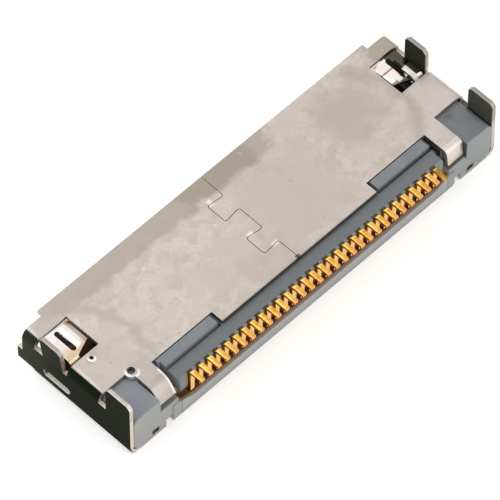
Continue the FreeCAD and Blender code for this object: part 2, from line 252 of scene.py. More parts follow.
def makeGrainGroup(values):
    group, inside, out = newGroup(
        "fineGrain",
        [("Vector", "NodeSocketVector"), ("Scale", "NodeSocketFloat")],
        [("Height", "NodeSocketFloat")])
    node = addNode(group, "ShaderNodeTexNoise")
    node.inputs["Detail"].default_value = values["grainDetail"]
    join(group, inside.outputs["Vector"], node.inputs["Vector"])
    join(group, inside.outputs["Scale"], node.inputs["Scale"])
    join(group, node.outputs["Fac"], out.inputs["Height"])
    return group


def makePatchGroup():  # 1 inside a box of the part, fading out over a soft rim
    group, inside, out = newGroup(
        "patch",
        [("Vector", "NodeSocketVector"), ("Middle", "NodeSocketVector"),
         ("Half", "NodeSocketVector"), ("Soft", "NodeSocketFloat")],
        [("Mask", "NodeSocketFloat")])
    away = addNode(group, "ShaderNodeVectorMath", operation="SUBTRACT")
    join(group, inside.outputs["Vector"], away.inputs[0])
    join(group, inside.outputs["Middle"], away.inputs[1])
    size = addNode(group, "ShaderNodeVectorMath", operation="ABSOLUTE")
    join(group, away.outputs[0], size.inputs[0])
    beyond = addNode(group, "ShaderNodeVectorMath", operation="SUBTRACT")
    join(group, size.outputs[0], beyond.inputs[0])
    join(group, inside.outputs["Half"], beyond.inputs[1])
    parts = addNode(group, "ShaderNodeSeparateXYZ")
    join(group, beyond.outputs[0], parts.inputs[0])
    most = mathNode(group, "MAXIMUM", mathNode(group, "MAXIMUM", *parts.outputs[:2]), parts.outputs[2])
    share = mathNode(group, "DIVIDE", most, inside.outputs["Soft"])
    join(group, ramp(group, share, 0.0, 1.0, 1.0, 0.0), out.inputs["Mask"])
    return group


mottleGroup = makeMottleGroup(effectValues)
edgeGroup = makeEdgeGroup(effectValues)
cornerGroup = makeCornerGroup(effectValues)
grainGroup = makeGrainGroup(effectValues)
patchGroup = makePatchGroup()
print("shared shader groups made")


# what the materials share; their places are in mm, with y counted from the shell's rear edge
def newMaterial(name):
    material = bpy.data.materials.new(name)
    material.use_nodes = True
    tree = material.node_tree
    coordinates = addNode(tree, "ShaderNodeTexCoord")
    fromRear = addNode(tree, "ShaderNodeVectorMath", "y counted from the rear edge", operation="SUBTRACT")
    join(tree, coordinates.outputs["Object"], fromRear.inputs[0])
    fromRear.inputs[1].default_value = (0, rearEdge, 0)
    millimetres = addNode(tree, "ShaderNodeVectorMath", "millimetres", operation="SCALE")
    join(tree, fromRear.outputs[0], millimetres.inputs[0])
    millimetres.inputs["Scale"].default_value = 1 / mm
    return material, tree, tree.nodes["Principled BSDF"], millimetres.outputs[0]


def placeMottle(tree, vector, looks):
    return placeGroup(tree, mottleGroup, Vector=vector, Light=looks["light"], Dark=looks["dark"],
                      Tint=looks["tint"], Patch=looks["mottlePerMm"], Contrast=looks["contrast"])


def patchMask(tree, vector, middle, half, soft):
    return placeGroup(tree, patchGroup, Vector=vector, Middle=middle, Half=half, Soft=soft).outputs["Mask"]


def paintPatches(tree, vector, colour, patches):  # each: middle, half size and soft rim, paint, amount
    for middle, half, soft, paint, amount in patches.values():
        colour = paintOver(tree, colour, paint, patchMask(tree, vector, middle, half, soft), amount)
    return colour


def unevenRoughness(tree, mask, looks):
    spread = mathNode(tree, "MULTIPLY", mask, looks["roughnessSpread"])
    return mathNode(tree, "ADD", spread, looks["roughness"])


def bump(tree, height, shader, looks):
    node = addNode(tree, "ShaderNodeBump")
    node.inputs["Distance"].default_value = looks["bumpHeight"]
    node.inputs["Strength"].default_value = looks["bumpStrength"]
    join(tree, height, node.inputs["Height"])
    join(tree, node.outputs["Normal"], shader.inputs["Normal"])


def grainHeight(tree, vector, looks):
    return placeGroup(tree, grainGroup, Vector=vector, Scale=looks["grainPerMm"]).outputs["Height"]


def distanceFrom(tree, vector, place):  # as seen from above: z is left out
    flat = addNode(tree, "ShaderNodeVectorMath", operation="MULTIPLY")
    join(tree, vector, flat.inputs[0])
    flat.inputs[1].default_value = (1, 1, 0)
    node = addNode(tree, "ShaderNodeVectorMath", operation="DISTANCE")
    join(tree, flat.outputs[0], node.inputs[0])
    node.inputs[1].default_value = place
    return node.outputs["Value"]


def sideways(tree):  # how far a face looks to the left or right end, 0 to 1
    coordinates = addNode(tree, "ShaderNodeTexCoord")
    faces = addNode(tree, "ShaderNodeSeparateXYZ")
    join(tree, coordinates.outputs["Normal"], faces.inputs[0])
    return mathNode(tree, "ABSOLUTE", faces.outputs[0])


shellLooks = {
    "light": srgb(207, 197, 189),
    "dark": srgb(186, 176, 166),
    "tint": srgb(199, 187, 181),
    "mottlePerMm": 1.5,
    "contrast": 1.0,

    # the seamed panel: stains and painted shade with uneven borders, painted shade in faint rings, dark
    # specks and painted glints
    "panelLevel": (2.2, 2.4),                     # nothing below the first, all above the second
    "borderPush": {"scale": 1.1, "detail": 3.0, "amount": 1.6},
    "broadStainsAndShade": {
        # the band at the mouth and its darkest part are painted shade
        "shadedBandAtMouth": ((-3.4, 6.3, 2.4), (6.6, 0.36, 0.3), 0.5, srgb(171, 161, 150), 0.85),
        "darkestOfShadedBand": ((0.4, 6.5, 2.4), (1.6, 0.4, 0.3), 0.7, srgb(154, 143, 131), 0.6),
        "leftEar": ((-10.2, 5.9, 2.4), (0.9, 0.4, 0.3), 0.4, srgb(184, 175, 167), 0.8),
        "rightEar": ((10.3, 6.0, 2.4), (0.6, 0.4, 0.3), 0.4, srgb(168, 157, 142), 0.85),
        "besideRightWindow": ((6.7, 4.6, 2.4), (0.6, 0.6, 0.3), 1.3, srgb(180, 169, 158), 0.7),
        "rightOfSeam": ((2.0, 3.4, 2.4), (1.4, 1.4, 0.3), 1.4, srgb(192, 180, 171), 0.75),
        "leftOfSeam": ((-2.6, 2.6, 2.4), (1.0, 0.7, 0.3), 1.0, srgb(196, 184, 172), 0.6),
        "leftEnd": ((-9.4, 2.9, 2.4), (0.9, 0.9, 0.3), 0.8, srgb(188, 179, 171), 0.7),
        "beforeLug": ((-1.0, 1.5, 2.4), (0.9, 0.4, 0.3), 0.7, srgb(186, 174, 166), 0.6),
        "rightEnd": ((9.2, 2.4, 2.4), (0.8, 0.9, 0.3), 0.7, srgb(204, 194, 190), 0.7),
    },
    # painted shade in faint rings
    "ringShade": srgb(176, 166, 156),
    "leftRing": ((-11.9, 2.98, 0), 4.35),         # middle and radius
    "rightRing": ((5.8, 3.93, 0), 3.15),
    "rightRingFrom": (7.4, 8.4),                  # it shows only right of these x
    "ringWidth": 0.55,
    "ringAmount": 0.75,
    "ringWobble": 1.2,
    "wobbleNoise": {"scale": 1.3, "detail": 3.0},
    "speck": srgb(158, 150, 140),
    "speckNoise": {"scale": 3.1, "detail": 1.0, "roughness": 0.4},
    "speckLevels": (0.70, 0.84),
    "speckAmount": 0.5,
    "glint": srgb(243, 239, 232),
    "glintNoise": {"scale": 2.3, "detail": 1.0, "roughness": 0.4, "distortion": 0.8},
    "glintLevels": (0.70, 0.92),
    "glintAmount": 0.4,

    "patches": {
        "leftStrapFlat": ((-8.62, 1.3, 2.4), (0.45, 0.6, 0.3), 0.3, srgb(182, 172, 164), 0.8),
        # painted light on the right strap's fold and tip, painted shade on the left strap's fold
        "litRightStrapFold": ((8.615, 0.25, 2.1), (0.5, 0.22, 0.7), 0.10, srgb(222, 210, 206), 0.85),
        "litRightStrapTip": ((8.615, 0.05, 1.6), (0.5, 0.3, 0.10), 0.10, srgb(226, 220, 186), 0.9),
        "shadedLeftStrapFold": ((-8.62, 0.15, 1.95), (0.5, 0.3, 0.42), 0.2, srgb(180, 170, 162), 0.85),
        "leftStrapLitRim": ((-8.19, 0.5, 2.1), (0.04, 0.60, 0.6), 0.04, srgb(240, 232, 226), 0.80),
        # painted highlight on the left wall's cut edge; painted shade on the cut edges of the lower panel
        # and the right legs and on the left front leg's top
        "litLeftWallCutEdge": ((-10.8, 0, 1.3), (0.12, 0.05, 1.2), 0.05, srgb(224, 200, 180), 0.9),
        "shadedLowerPanelCutEdge": ((0, 0, 0.1), (10.4, 0.04, 0.1), 0.03, srgb(158, 153, 145), 0.9),
        "shadedRightLegsCutEdges": ((10.8, 3, 3.05), (0.15, 3.2, 0.6), 0.05, srgb(146, 143, 136), 0.85),
        "shadedLeftFrontLegTop": ((-10.9, 4.55, 3.5), (0.4, 0.75, 0.12), 0.05, srgb(150, 142, 130), 0.7),
        "unlitInnerFaces": ((0, 4.2, 1.24), (10.71, 2.4, 1.045), 0.01, srgb(24, 23, 21), 0.97),
        "glowUnderLeftWindow": ((-8.0, 4.3, 0.2), (1.1, 1.2, 0.3), 0.3, srgb(104, 72, 54), 0.8),
        "litEdgeInRightWindow": ((10.48, 4.6, 2.12), (0.1, 0.7, 0.2), 0.03, srgb(250, 246, 240), 0.9),
        "litCornerFrontTab": ((-0.77, 5.50, 2.4), (0.05, 0.10, 0.3), 0.12, srgb(236, 230, 222), 0.8),
        "litCornerRearTab": ((-0.70, 3.18, 2.4), (0.08, 0.04, 0.3), 0.12, srgb(236, 230, 222), 0.8),
        "litCornerNearLug": ((-0.29, 2.12, 2.4), (0.10, 0.04, 0.3), 0.12, srgb(236, 230, 222), 0.8),
        "copperShineByNeck": ((-10.4, 3.75, 1.9), (0.32, 0.5, 0.34), 0.08, srgb(206, 150, 100), 0.9),
        # painted shade on the lug's cut edge and in the nick at the seam's end, painted shadow beside the
        # right block
        "shadedLugCutEdge": ((0, 0.91, 2.36), (4.6, 0.03, 0.11), 0.02, srgb(104, 95, 88), 0.75),
        "shadeInNickAtSeamEnd": ((-0.08, 0.97, 2.4), (0.09, 0.06, 0.3), 0.05, srgb(70, 66, 62), 0.85),
        "shadowBesideRightBlock": ((10.8, 1.35, 1.95), (0.16, 0.50, 0.6), 0.05, srgb(34, 33, 30), 0.85),
    },

    # lit rims of the eyelet and the dimple: middle, radius and width
    "rims": {
        "eyelet": ((-9.035, 1.745, 0), 0.27, 0.08),
        "dimple": ((-9.75, 3.40, 0), 0.15, 0.07),
    },
    "rimPaint": srgb(252, 250, 245),
    "rimTowards": (-0.5, -0.87, 0),               # the side that catches the light
    "rimFade": (-0.8, 0.3),                       # in radii along that way: none, all

    # end walls and legs, with painted shade on their broad faces
    "wall": srgb(38, 44, 34),
    "shadedWallFront": srgb(68, 71, 60),
    "wallFrontFrom": (3.5, 6.5),                  # y at which one colour ends and the next is full
    "shadedRightWall": srgb(60, 61, 52),
    "shadedRightWallRear": srgb(84, 87, 77),
    "rightWallRearTo": (1.5, 3.5),
    "rightFrom": (-1.0, 1.0),                     # x
    "wallFrom": (10.5, 10.68),                    # distance from the middle
    "wallFacing": (0.3, 0.48),                    # how far a face looks sideways: none, all
    "rightWallTurn": 0.5,                         # taken off that at the right end
    "lowWall": (0.6, 0.5),                        # z: none above the first, all below the second
    "lowWallFacing": (0.05, 0.25),
    "wallRoughness": 0.92,
    # painted highlight on the lower edge of the wall slots
    "slotEdge": ((0, 4.38, 0.66), (10.95, 0.85, 0.04), 0.02),   # lower edge of the wall slots
    "slotEdgeFrom": (10.66, 10.69),
    "slotEdgeFacing": (0.5, 0.2),
    "slotEdgeHighlight": srgb(250, 248, 242),

    # edge wear with a painted highlight along the sharp edges
    "cutEdgeAndHighlight": srgb(238, 228, 212),
    "edgeRadius": 0.03 * mm,
    "edgeAmount": 0.4,
    "roughness": 0.34,
    "roughnessSpread": 0.10,
    "dentNoise": {"scale": 0.9, "detail": 2.0, "roughness": 0.5},
    "dentShare": 0.6,
    "grainPerMm": 14.0,
    "grainShare": 0.06,
    "bumpHeight": 0.06 * mm,
    "bumpStrength": 0.5,
}


def ringMask(tree, vector, place, radius, width, wobble):  # 1 on a soft ring, seen from above
    away = mathNode(tree, "SUBTRACT", distanceFrom(tree, vector, place), radius)
    uneven = mathNode(tree, "ADD", away, wobble)
    inner = ramp(tree, uneven, -width, 0.0)
    outer = ramp(tree, uneven, 0.0, width, 1.0, 0.0)
    return mathNode(tree, "MULTIPLY", inner, outer)


def pushedAbout(tree, vector, scale, detail, amount):  # the same place, moved in x and y by a noise
    node = addNode(tree, "ShaderNodeTexNoise")
    join(tree, vector, node.inputs["Vector"])
    node.inputs["Scale"].default_value = scale
    node.inputs["Detail"].default_value = detail
    centred = addNode(tree, "ShaderNodeVectorMath", operation="SUBTRACT")
    join(tree, node.outputs["Color"], centred.inputs[0])
    centred.inputs[1].default_value = (0.5, 0.5, 0.5)
    flat = addNode(tree, "ShaderNodeVectorMath", operation="MULTIPLY_ADD")
    join(tree, centred.outputs[0], flat.inputs[0])
    flat.inputs[1].default_value = (amount, amount, 0)
    join(tree, vector, flat.inputs[2])
    return flat.outputs[0]


def paintPanel(tree, vector, x, onPanel, colour, looks):
    uneven = pushedAbout(tree, vector, **looks["borderPush"])
    colour = paintPatches(tree, uneven, colour, looks["broadStainsAndShade"])
    centred = mathNode(tree, "SUBTRACT", noise(tree, vector, **looks["wobbleNoise"]), 0.5)
    wobble = mathNode(tree, "MULTIPLY", centred, looks["ringWobble"])
    leftRing = ringMask(tree, vector, *looks["leftRing"], looks["ringWidth"], wobble)
    rightRing = ringMask(tree, vector, *looks["rightRing"], looks["ringWidth"], wobble)
    rightRing = mathNode(tree, "MULTIPLY", rightRing, ramp(tree, x, *looks["rightRingFrom"]))
    rings = mathNode(tree, "MULTIPLY", mathNode(tree, "MAXIMUM", leftRing, rightRing), looks["ringAmount"])
    colour = paintOver(tree, colour, looks["ringShade"], rings, onPanel)
    specks = ramp(tree, noise(tree, vector, **looks["speckNoise"]), *looks["speckLevels"])
    colour = paintOver(tree, colour, looks["speck"], specks, looks["speckAmount"])
    glints = ramp(tree, noise(tree, vector, **looks["glintNoise"]), *looks["glintLevels"])
    return paintOver(tree, colour, looks["glint"], glints, looks["glintAmount"])


def paintRims(tree, vector, onPanel, colour, looks):
    start, full = looks["rimFade"]
    for place, radius, width in looks["rims"].values():
        rim = ringMask(tree, vector, place, radius, width, 0.0)
        away = addNode(tree, "ShaderNodeVectorMath", operation="SUBTRACT")
        join(tree, vector, away.inputs[0])
        away.inputs[1].default_value = place
        along = addNode(tree, "ShaderNodeVectorMath", operation="DOT_PRODUCT")
        join(tree, away.outputs[0], along.inputs[0])
        along.inputs[1].default_value = looks["rimTowards"]
        near = ramp(tree, along.outputs["Value"], start * radius, full * radius)
        colour = paintOver(tree, colour, looks["rimPaint"], mathNode(tree, "MULTIPLY", rim, near), onPanel)
    return colour


def wallMask(tree, fromMiddle, z, facing, onRight, looks):  # 1 on the broad faces of the walls and legs
    outward = ramp(tree, fromMiddle, *looks["wallFrom"])
    less = mathNode(tree, "MULTIPLY", onRight, looks["rightWallTurn"])
    upper = ramp(tree, mathNode(tree, "SUBTRACT", facing, less), *looks["wallFacing"])
    low = ramp(tree, z, *looks["lowWall"])
    lower = mathNode(tree, "MULTIPLY", low, ramp(tree, facing, *looks["lowWallFacing"]))
    return mathNode(tree, "MULTIPLY", mathNode(tree, "MAXIMUM", upper, lower), outward)


def makeShellMaterial(looks):
    material, tree, shader, vector = newMaterial("satinNickel")
    parts = addNode(tree, "ShaderNodeSeparateXYZ")
    join(tree, vector, parts.inputs[0])
    x, y, z = parts.outputs
    fromMiddle = mathNode(tree, "ABSOLUTE", x)
    facing = sideways(tree)
    onPanel = ramp(tree, z, *looks["panelLevel"])
    mottle = placeMottle(tree, vector, looks)
    colour = paintPanel(tree, vector, x, onPanel, mottle.outputs["Color"], looks)
    colour = paintPatches(tree, vector, colour, looks["patches"])
    colour = paintRims(tree, vector, onPanel, colour, looks)

    # the end walls and legs are matt on their broad faces, which get painted shade
    onRight = ramp(tree, x, *looks["rightFrom"])
    wall = wallMask(tree, fromMiddle, z, facing, onRight, looks)
    leftColour = mixColour(tree, ramp(tree, y, *looks["wallFrontFrom"]), looks["wall"], looks["shadedWallFront"])
    rearToFront = ramp(tree, y, *looks["rightWallRearTo"])
    rightColour = mixColour(tree, rearToFront, looks["shadedRightWallRear"], looks["shadedRightWall"])
    colour = mixColour(tree, wall, colour, mixColour(tree, onRight, leftColour, rightColour))
    # edge wear with a painted highlight along the sharp edges
    edge = placeGroup(tree, edgeGroup, Radius=looks["edgeRadius"])
    colour = paintOver(tree, colour, looks["cutEdgeAndHighlight"], edge.outputs["Mask"], looks["edgeAmount"])

    # the lower edge of the wall slots gets a painted highlight: a plain white, with no metal in it
    slotEdge = patchMask(tree, vector, *looks["slotEdge"])
    beyond = mathNode(tree, "MULTIPLY", slotEdge, ramp(tree, fromMiddle, *looks["slotEdgeFrom"]))
    flatOn = mathNode(tree, "MULTIPLY", beyond, ramp(tree, facing, *looks["slotEdgeFacing"]))
    colour = mixColour(tree, flatOn, colour, looks["slotEdgeHighlight"])
    join(tree, colour, shader.inputs["Base Color"])
    join(tree, mathNode(tree, "SUBTRACT", 1.0, flatOn), shader.inputs["Metallic"])
    rough = unevenRoughness(tree, mottle.outputs["Mask"], looks)
    matt = mathNode(tree, "MULTIPLY", mathNode(tree, "SUBTRACT", looks["wallRoughness"], rough), wall)
    join(tree, mathNode(tree, "ADD", rough, matt), shader.inputs["Roughness"])
    dents = mathNode(tree, "MULTIPLY", noise(tree, vector, **looks["dentNoise"]), looks["dentShare"])
    grain = mathNode(tree, "MULTIPLY", grainHeight(tree, vector, looks), looks["grainShare"])
    bump(tree, mathNode(tree, "ADD", dents, grain), shader, looks)
    return material


insulatorLooks = {
    "light": srgb(140, 143, 145),
    "dark": srgb(126, 131, 133),
    "tint": srgb(134, 137, 143),
    "mottlePerMm": 0.9,
    "contrast": 0.9,
    "patches": {
        # painted light and shade: a shaded band above the contacts, the left block's top lit and the right
        # one's shaded, shade inside the shell's front and in the right pocket, lit rears of the blocks, and
        # the lip lit above and shaded below
        "shadedBandAboveContacts": ((0, 0.6, 2.3), (8.1, 0.32, 0.08), 0.05, srgb(111, 116, 118), 0.8),
        "litTopOfLeftBlock": ((-9.9, 0.9, 2.3), (0.9, 0.9, 0.06), 0.05, srgb(146, 150, 156), 0.8),
        "shadedTopOfRightBlock": ((9.9, 0.9, 2.3), (0.9, 0.9, 0.06), 0.05, srgb(124, 128, 131), 0.8),
        "shadeInsideShellFront": ((0, 3.9, 1.24), (10.69, 1.7, 1.2), 0.02, srgb(30, 31, 33), 0.9),
        "shadedFloorOfRightPocket": ((8.615, 0.4, 1.5), (0.62, 0.35, 0.08), 0.04, srgb(60, 60, 52), 0.8),
        "litRearOfLeftBlock": ((-9.4, -0.02, 1.2), (1.4, 0.05, 1.3), 0.02, srgb(170, 171, 169), 0.8),
        "litRearOfRightBlock": ((9.4, -0.02, 1.2), (1.4, 0.05, 1.3), 0.02, srgb(152, 158, 156), 0.8),
        "litLipUnderContacts": ((0, -0.05, 0.65), (7.9, 0.04, 0.35), 0.03, srgb(182, 181, 180), 0.8),
        "shadedLowerHalfOfLip": ((0, -0.05, 0.40), (7.9, 0.04, 0.12), 0.05, srgb(158, 164, 168), 0.8),
    },
    # dirt and painted shade in corners
    "dirtAndShade": srgb(36, 36, 38),
    "cornerReach": 0.22 * mm,
    "cornerAmount": 0.5,
    # painted highlight along the edges
    "edge": srgb(178, 180, 180),
    "edgeRadius": 0.025 * mm,
    "edgeAmount": 0.35,

    # painted gold light from the contacts, painted over the dirt and shade
    "rowPatches": {
        "faceBehindContacts": ((0, 0.26, 1.65), (7.45, 0.16, 0.46), 0.05, srgb(206, 152, 86), 0.95),
        "undercutBelowRow": ((0, 0.30, 0.90), (8.1, 0.25, 0.50), 0.03, srgb(176, 142, 108), 0.9),
        "innerEdgeOfLip": ((0, 0.07, 0.72), (7.9, 0.06, 0.08), 0.02, srgb(172, 158, 146), 0.9),
    },

    # painted shadow and painted light in the gaps and grooves between the moulding and the shell, and
    # painted shade and light on the two sides of the ejector mark
    "gapPatches": {
        "shadowAtEndOfLeftPad": ((-4.70, 1.27, 2.35), (0.07, 0.33, 0.2), 0.04, srgb(20, 18, 16), 0.95),
        "shadowAtEndOfRightPad": ((4.70, 1.27, 2.35), (0.06, 0.33, 0.2), 0.04, srgb(20, 18, 16), 0.95),
        "shadowAlongRightStrap": ((8.02, 0.95, 2.2), (0.13, 0.70, 0.4), 0.04, srgb(18, 18, 16), 0.92),
        "shadowBesideRightFold": ((9.13, 0.10, 1.8), (0.045, 0.24, 0.50), 0.03, srgb(24, 22, 20), 0.9),
        "shadowUnderLugEdge": ((0, 0.88, 2.3), (4.6, 0.02, 0.1), 0.03, srgb(58, 56, 54), 0.35),
        "shadeInLeftPadGroove": ((-6.3, 0.85, 2.35), (1.6, 0.06, 0.2), 0.16, srgb(104, 111, 116), 0.6),
        "shadeInRightPadGroove": ((6.3, 0.85, 2.35), (1.6, 0.06, 0.2), 0.16, srgb(104, 111, 116), 0.6),
        "litGapAlongLeftStrap": ((-7.99, 0.75, 2.1), (0.14, 0.62, 0.4), 0.04, srgb(150, 156, 165), 0.8),
        "shadedSideOfMark": ((9.70, 1.55, 2.35), (0.05, 0.04, 0.1), 0.10, srgb(76, 82, 86), 0.8),
        "litSideOfMark": ((9.49, 1.36, 2.35), (0.05, 0.04, 0.1), 0.10, srgb(146, 151, 159), 0.6),
    },
    "roughness": 0.42,
    "roughnessSpread": 0.12,
    "refraction": 1.52,
    "grainPerMm": 22.0,
    "bumpHeight": 0.006 * mm,
    "bumpStrength": 0.5,
}


def makeInsulatorMaterial(looks):
    material, tree, shader, vector = newMaterial("greyNylon")
    mottle = placeMottle(tree, vector, looks)
    corner = placeGroup(tree, cornerGroup, Distance=looks["cornerReach"])
    edge = placeGroup(tree, edgeGroup, Radius=looks["edgeRadius"])
    colour = paintPatches(tree, vector, mottle.outputs["Color"], looks["patches"])
    colour = paintOver(tree, colour, looks["dirtAndShade"], corner.outputs["Mask"], looks["cornerAmount"])
    colour = paintOver(tree, colour, looks["edge"], edge.outputs["Mask"], looks["edgeAmount"])
    colour = paintPatches(tree, vector, colour, looks["rowPatches"])
    colour = paintPatches(tree, vector, colour, looks["gapPatches"])
    join(tree, colour, shader.inputs["Base Color"])
    join(tree, unevenRoughness(tree, mottle.outputs["Mask"], looks), shader.inputs["Roughness"])
    shader.inputs["IOR"].default_value = looks["refraction"]
    bump(tree, grainHeight(tree, vector, looks), shader, looks)
    return material


contactLooks = {
    "light": srgb(243, 196, 104),
    "dark": srgb(212, 154, 60),
    "tint": srgb(234, 170, 84),
    "mottlePerMm": 2.2,
    "contrast": 1.0,
    "patches": {
        # painted highlight on the heels and painted light on the risers
        "highlightOnHeels": ((0, 0.04, 2.42), (7.6, 0.06, 0.10), 0.05, srgb(252, 230, 132), 0.7),
        "litRisers": ((0, -0.02, 1.55), (7.6, 0.08, 0.5), 0.10, srgb(250, 194, 118), 0.85),
        "reddishTips": ((0, -0.60, 2.4), (7.0, 0.07, 0.2), 0.05, srgb(238, 160, 92), 0.8),
        "dullLastFoot": ((7.25, -0.35, 2.2), (0.16, 0.32, 0.3), 0.05, srgb(146, 116, 50), 0.8),
    },
    # dirt and painted shade in corners and pits
    "dirtAndShade": srgb(100, 58, 12),
    "cornerReach": 0.30 * mm,
    "cornerAmount": 0.8,
    # painted shade on the faces that look sideways
    "shadedFlank": srgb(166, 112, 42),
    "flankFacing": (0.6, 0.85),
    "flankAmount": 0.9,
    "roughness": 0.16,
    "roughnessSpread": 0.12,
    "grainPerMm": 9.0,
    "bumpHeight": 0.012 * mm,
    "bumpStrength": 0.5,
}


def makeContactMaterial(looks):
    material, tree, shader, vector = newMaterial("goldPlate")
    mottle = placeMottle(tree, vector, looks)
    corner = placeGroup(tree, cornerGroup, Distance=looks["cornerReach"])
    colour = paintPatches(tree, vector, mottle.outputs["Color"], looks["patches"])
    colour = paintOver(tree, colour, looks["dirtAndShade"], corner.outputs["Mask"], looks["cornerAmount"])
    shadedFlank = ramp(tree, sideways(tree), *looks["flankFacing"])
    colour = paintOver(tree, colour, looks["shadedFlank"], shadedFlank, looks["flankAmount"])
    join(tree, colour, shader.inputs["Base Color"])
    shader.inputs["Metallic"].default_value = 1.0
    join(tree, unevenRoughness(tree, mottle.outputs["Mask"], looks), shader.inputs["Roughness"])
    bump(tree, grainHeight(tree, vector, looks), shader, looks)
    return material


springLooks = {
    "light": srgb(250, 246, 243),
    "dark": srgb(236, 228, 222),
    "tint": srgb(244, 232, 226),
    "mottlePerMm": 2.0,
    "contrast": 0.9,
    "patches": {
        "tanBendOfLeft": ((-9.8, 3.7, 2.4), (0.8, 0.45, 0.3), 0.6, srgb(216, 190, 156), 0.85),
        # painted shadow along the left plate's rim
        "shadowRimOfLeft": ((-9.2, 4.3, 2.4), (0.06, 1.2, 0.3), 0.12, srgb(150, 110, 84), 0.6),
        "oliveShadeOnRight": ((10.2, 5.4, 2.4), (0.33, 0.66, 0.1), 0.06, srgb(60, 55, 36), 0.94),
        # painted shade beside the right slot
        "shadedStripBesideSlot": ((9.98, 4.4, 2.4), (0.13, 0.8, 0.1), 0.05, srgb(34, 28, 22), 0.94),
        "unlitBendOfRight": ((9.45, 3.85, 2.4), (0.42, 0.36, 0.3), 0.12, srgb(34, 24, 18), 0.92),
        "brownBeforeBend": ((9.2, 4.25, 2.4), (0.2, 0.12, 0.3), 0.10, srgb(120, 84, 56), 0.8),
        "creaseAcrossRight": ((9.45, 5.0, 2.4), (0.5, 0.02, 0.1), 0.05, srgb(150, 92, 84), 0.85),
    },
    "neck": srgb(178, 132, 92),
    "neckLevels": (2.34, 2.12),                   # z: none above the first, all below the second
    "neckAmount": 0.9,
    "litStrip": ((10.14, 3.95, 2.2), (0.11, 0.72, 0.45), 0.03),   # along the right leg's root
    "litStripPaint": srgb(255, 252, 248),
    "roughness": 0.12,
    "roughnessSpread": 0.08,
    "grainPerMm": 10.0,
    "bumpHeight": 0.008 * mm,
    "bumpStrength": 0.4,
}


def makeSpringMaterial(looks):
    material, tree, shader, vector = newMaterial("springSteel")
    parts = addNode(tree, "ShaderNodeSeparateXYZ")
    join(tree, vector, parts.inputs[0])
    mottle = placeMottle(tree, vector, looks)
    colour = paintPatches(tree, vector, mottle.outputs["Color"], looks["patches"])
    neck = ramp(tree, parts.outputs[2], *looks["neckLevels"])
    colour = paintOver(tree, colour, looks["neck"], neck, looks["neckAmount"])
    strip = patchMask(tree, vector, *looks["litStrip"])
    colour = mixColour(tree, strip, colour, looks["litStripPaint"])
    join(tree, colour, shader.inputs["Base Color"])
    join(tree, mathNode(tree, "SUBTRACT", 1.0, strip), shader.inputs["Metallic"])
    join(tree, unevenRoughness(tree, mottle.outputs["Mask"], looks), shader.inputs["Roughness"])
    bump(tree, grainHeight(tree, vector, looks), shader, looks)
    return material


shellMaterial = makeShellMaterial(shellLooks)
insulatorMaterial = makeInsulatorMaterial(insulatorLooks)
contactMaterial = makeContactMaterial(contactLooks)
springMaterial = makeSpringMaterial(springLooks)
print("materials made")


# pieces that stand for the sheet and moulded parts, with their sharp edges broken as on real ones
brokenEdges = {
    "foldedShell": {"width": 0.02 * mm, "segments": 2},
    "mouldedInsulator": {"width": 0.015 * mm, "segments": 1},
    "leftSpring": {"width": 0.015 * mm, "segments": 2},
    "rightSpring": {"width": 0.015 * mm, "segments": 2},
    "lastGoldContact": {"width": 0.02 * mm, "segments": 2},
}
edgeValues = {
    "mergeWithin": 0.0002 * mm,
    "flatWithin": 0.5,     # degrees: faces that turn less become one
    "sharpFrom": 32,       # degrees: edges that turn more are broken
}


def plainMesh(thing):
    graph = bpy.context.evaluated_depsgraph_get()
    mesh = bpy.data.meshes.new_from_object(thing.evaluated_get(graph), depsgraph=graph)
    thing.modifiers.clear()
    thing.data = mesh


def softened(nodeName, pieceName, material, values):
    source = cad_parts[nodeName]
    work = bmesh.new()
    work.from_mesh(source.data)
    bmesh.ops.remove_doubles(work, verts=work.verts, dist=values["mergeWithin"])
    flatAngle = math.radians(values["flatWithin"])
    bmesh.ops.dissolve_limit(work, angle_limit=flatAngle, verts=work.verts, edges=work.edges)
    mesh = bpy.data.meshes.new(pieceName)
    work.to_mesh(mesh)
    work.free()
    piece = bpy.data.objects.new(pieceName, mesh)
    bpy.context.collection.objects.link(piece)
    mesh.materials.clear()
    mesh.materials.append(material)
    for face in mesh.polygons:
        face.use_smooth = True
    bevel = piece.modifiers.new("brokenEdges", "BEVEL")
    bevel.width = brokenEdges[pieceName]["width"]
    bevel.segments = brokenEdges[pieceName]["segments"]
    bevel.limit_method = "ANGLE"
    bevel.angle_limit = math.radians(values["sharpFrom"])
    bevel.miter_outer = "MITER_ARC"
    bevel.use_clamp_overlap = True
    weights = piece.modifiers.new("flatFaces", "WEIGHTED_NORMAL")
    weights.keep_sharp = True
    plainMesh(piece)
    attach(piece, "root")
    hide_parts(nodeName)
    print(pieceName, "faces:", len(piece.data.polygons))


softened("shell", "foldedShell", shellMaterial, edgeValues)
softened("insulator", "mouldedInsulator", insulatorMaterial, edgeValues)
softened("left_retention_spring", "leftSpring", springMaterial, edgeValues)
softened("right_retention_spring", "rightSpring", springMaterial, edgeValues)


# row of contacts: one bent strip, swept along its path and repeated at the pitch
rowValues = {
    "count": 29,                # the last contact of the thirty is bent, so it is a piece of its own
    "pitch": 0.5 * mm,
    "thickness": 0.15 * mm,
    "tipToRiser": 0.60 * mm,
    "bendRadius": 0.155 * mm,   # of the middle line
    "bendSteps": 7,
    "cornerRadius": 0.02 * mm,
    "cornerSteps": 2,
    "sharpFrom": 35,            # degrees
}


def link(tree, source, node, socketName):
    join(tree, source, node.inputs[socketName])


